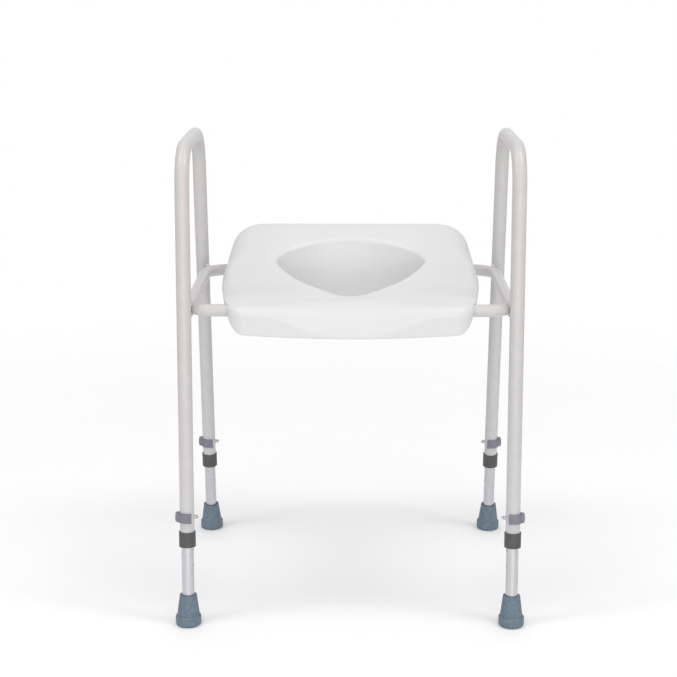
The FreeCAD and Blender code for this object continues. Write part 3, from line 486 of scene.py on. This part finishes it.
class Station:
    """The seat's cross-section along one line from its outline in to its opening, as a
    closed loop of points: over the deck, down the funnel and back underneath."""

    def __init__(self, rim, rim_in, lip, lip_in, throat):
        self.rim, self.rim_in = rim, rim_in
        self.lip, self.lip_in, self.throat = lip, lip_in, throat
        self.width, self.level = rim_shape(rim)
        self.bottom = lower_level(rim)
        self.points = []
        self.add_outside()
        self.add_deck()
        self.add_funnel()
        self.add_underside()

    def add(self, plan, height):
        self.points.append((plan.x, plan.y, height))

    def add_side(self, height, wall):
        """A point of the skirt, inside its outer face by wall."""
        inset = skirt_inset(height, self.rim_in) + wall
        self.add(self.rim + self.rim_in * inset, height)

    def add_round(self, share, wall):
        """A point of the rounded rim, from its widest line to the deck, inside by wall."""
        angle = math.pi / 2 * share
        plan = self.rim + self.rim_in * (wall + self.width * (1 - math.cos(angle)))
        height = blend(self.level, deck_height(*plan) - wall, math.sin(angle))
        self.add(plan + self.rim_in * skirt_inset(height, self.rim_in), height)

    def add_outside(self):
        """The skirt's lower edge, its outer face and the rounded rim."""
        edge = SKIRT_EDGE_RADIUS
        for i in range(EDGE_STEPS):
            angle = math.pi / 2 * i / EDGE_STEPS
            self.add_side(self.bottom + edge * (1 - math.cos(angle)), edge * (1 - math.sin(angle)))
        for i in range(SKIRT_STEPS):
            self.add_side(blend(self.bottom + edge, self.level, i / SKIRT_STEPS), 0)
        for i in range(ROUND_STEPS):
            self.add_round(i / ROUND_STEPS, 0)

    def add_deck(self):
        """The deck and the rounded lip of the opening."""
        start = self.rim + self.rim_in * self.width
        end = self.lip - self.lip_in * LIP_RADIUS
        for i in range(DECK_STEPS):
            plan = start.lerp(end, i / DECK_STEPS)
            self.add(plan, deck_height(*plan))
        for i in range(LIP_STEPS):
            angle = math.pi / 2 * i / LIP_STEPS
            plan = end + self.lip_in * (LIP_RADIUS * math.sin(angle))
            self.add(plan, deck_height(*plan) - LIP_RADIUS * (1 - math.cos(angle)))

    def add_funnel(self):
        """The funnel's inner face down to its mouth and its outer face up again."""
        top = deck_height(*self.lip) - LIP_RADIUS
        for i in range(FUNNEL_STEPS + 1):
            share = i / FUNNEL_STEPS
            self.add(self.lip.lerp(self.throat, share), blend(top, FUNNEL_BOTTOM, share))
        under = deck_height(*(self.lip - self.lip_in * SEAT_WALL)) - SEAT_WALL * 2
        for i in range(INNER_FUNNEL_STEPS + 1):
            share = i / INNER_FUNNEL_STEPS
            plan = self.throat.lerp(self.lip, share) - self.lip_in * SEAT_WALL
            self.add(plan, blend(FUNNEL_BOTTOM, under, share))

    def add_underside(self):
        """The underside of the deck and the inner face of the rim and skirt."""
        start = self.lip - self.lip_in * (LIP_RADIUS + SEAT_WALL)
        end = self.rim + self.rim_in * (self.width + SEAT_WALL)
        for i in range(INNER_DECK_STEPS + 1):
            plan = start.lerp(end, i / INNER_DECK_STEPS)
            self.add(plan, deck_height(*plan) - SEAT_WALL)
        for i in range(1, INNER_ROUND_STEPS):
            self.add_round(1 - i / INNER_ROUND_STEPS, SEAT_WALL)
        for i in range(INNER_SKIRT_STEPS + 1):
            self.add_side(blend(self.level, self.bottom, i / INNER_SKIRT_STEPS), SEAT_WALL)


def solid_object(name, points, faces):
    """An object with a closed mesh whose faces all look outward."""
    mesh = bpy.data.meshes.new(name)
    mesh.from_pydata(points, [], faces)
    made = bmesh.new()
    made.from_mesh(mesh)
    bmesh.ops.recalc_face_normals(made, faces=made.faces)
    made.to_mesh(mesh)
    made.free()
    solid = bpy.data.objects.new(name, mesh)
    bpy.context.scene.collection.objects.link(solid)
    return solid


def block(low, high):
    """Corner points and faces of an upright block."""
    spans = list(zip(low, high))
    points = [(x, y, z) for x in spans[0] for y in spans[1] for z in spans[2]]
    faces = [(0, 1, 3, 2), (4, 6, 7, 5), (0, 4, 5, 1), (2, 3, 7, 6), (0, 2, 6, 4), (1, 5, 7, 3)]
    return points, faces


def slot_cutter(name, x_low, x_high, y, radius, height):
    """A bar with a round top that cuts an open-bottomed slot along X."""
    rounds = [math.pi * i / SLOT_ARC_STEPS for i in range(SLOT_ARC_STEPS + 1)]
    outline = [(y - radius, SIDE_BOTTOM - radius), (y + radius, SIDE_BOTTOM - radius)]
    outline += [(y + radius * math.cos(t), height + radius * math.sin(t)) for t in rounds]
    count = len(outline)
    points = [(x, *place) for x in (x_low, x_high) for place in outline]
    faces = [tuple(range(count - 1, -1, -1)), tuple(range(count, 2 * count))]
    for i in range(count):
        after = (i + 1) % count
        faces.append((i, after, after + count, i + count))
    return solid_object(name, points, faces)


def cut_slots(seat):
    """Cuts the four slots that the rails pass through out of the side skirts."""
    cutters = []
    for name in ("front_rail", "rear_rail"):
        low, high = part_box(name)
        radius = (high[2] - low[2]) / 2
        height = low[2] + radius
        y = low[1] + radius if name == "front_rail" else high[1] - radius
        for side in (-1, 1):
            shares = (SLOT_INNER_SHARE, SLOT_OUTER_SHARE)
            ends = sorted(side * share * SEAT_HALF_WIDTH for share in shares)
            cutters.append(slot_cutter(f"slot_{name}_{side}", *ends, y, radius + SLOT_PLAY, height))
    for cutter in cutters:
        cut = seat.modifiers.new("slot", "BOOLEAN")
        cut.operation, cut.solver, cut.object = "DIFFERENCE", "FAST", cutter
    shaped = seat.evaluated_get(bpy.context.evaluated_depsgraph_get())
    seat.data = bpy.data.meshes.new_from_object(shaped)
    seat.modifiers.clear()
    for cutter in cutters:
        bpy.data.objects.remove(cutter)


def make_bosses():
    """Pillars from the screwed flanges of the saddles up into the seat's deck."""
    points, faces = [], []
    for leg in LEGS:
        low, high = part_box(f"seat_saddle_{leg}")
        middle_y = (low[1] + high[1]) / 2
        for way in (-1, 1):
            inner, outer = middle_y + way * BOSS_INNER, middle_y + way * BOSS_OUTER
            y_low, y_high = min(inner, outer), max(inner, outer)
            corners, sides = block((low[0], y_low, BOSS_BOTTOM), (high[0], y_high, RIDGE_HEIGHT))
            faces += [tuple(len(points) + corner for corner in side) for side in sides]
            for x, y, z in corners:
                points.append((x, y, z if z == BOSS_BOTTOM else edge_height(x, y) - BOSS_COVER))
    bosses = solid_object("seat_bosses", points, faces)
    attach(bosses, "seat")
    return bosses


def make_seat():
    """The seat moulding: a ring of stations round the opening, with its slots cut."""
    turns = [2 * math.pi * i / STATIONS for i in range(STATIONS)]
    rim = [outermost(turn, in_seat_plan) for turn in turns]
    lip = [outermost(turn, in_opening_plan) for turn in turns]
    throat = [outermost(turn, in_throat_plan) for turn in turns]
    rim_in = inward_normals(rim)
    lip_in = inward_normals(lip)
    loops = [Station(*lines).points for lines in zip(rim, rim_in, lip, lip_in, throat)]
    rows = len(loops[0])
    faces = []
    for i in range(STATIONS):
        after = (i + 1) % STATIONS
        for j in range(rows):
            up = (j + 1) % rows
            faces.append((i * rows + j, after * rows + j, after * rows + up, i * rows + up))
    seat = solid_object("seat_moulding", [point for loop in loops for point in loop], faces)
    cut_slots(seat)
    seat.data.polygons.foreach_set("use_smooth", [True] * len(seat.data.polygons))
    seat.data.set_sharp_from_angle(angle=SHARP_ANGLE)
    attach(seat, "seat")
    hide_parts("seat_shell")
    return seat


# ---------------------------------------------------------------- scene

bpy.context.scene.view_settings.view_transform = "Standard"
make_camera()
make_world(0.89, 0.46, 0.35)
make_softbox("front_panel", (0.6, -4.2, 0.65), (0, 0, 0.4), 3.4, 1.1, 27)
make_softbox("left_softbox", (-0.95, -0.35, 2.3), (0, 0, 0.5), 0.4, 1.0, 7.5)
make_softbox("right_softbox", (0.95, -0.35, 2.3), (0, 0, 0.5), 0.4, 1.0, 8.5)
floor = make_floor()
floor.data.materials.append(floor_paint())

coat = powder_coat()
front_metal = drawn_aluminium("drawn_aluminium_front", -LEG_SPLAY)
rear_metal = drawn_aluminium("drawn_aluminium_rear", LEG_SPLAY)
collar = matte_plastic("collar_plastic", (0.075, 0.074, 0.074), 0.5)
clip = matte_plastic("clip_plastic", (0.195, 0.195, 0.245), 0.42)
saddle = matte_plastic("saddle_plastic", (0.55, 0.55, 0.56), 0.5)
rubber = foot_rubber()
pin = zinc_steel()
for node in ("side_frame_left", "side_frame_right", "front_rail", "rear_rail"):
    paint_node(node, coat)
for node in ("rail_sleeve_left", "rail_sleeve_right", "saddle_screws"):
    paint_node(node, pin)
for leg in LEGS:
    paint_node(f"rail_weld_{leg}", coat)
    paint_node(f"leg_collar_{leg}", collar)
    paint_node(f"leg_extension_{leg}", front_metal if leg.startswith("front") else rear_metal)
    paint_node(f"foot_ferrule_{leg}", rubber)
    paint_node(f"foot_washer_{leg}", pin)
    paint_node(f"adjuster_clip_{leg}", clip)
    paint_node(f"clip_pin_{leg}", pin)
    paint_node(f"seat_saddle_{leg}", saddle)
white = seat_plastic()
make_seat().data.materials.append(white)
make_bosses().data.materials.append(white)
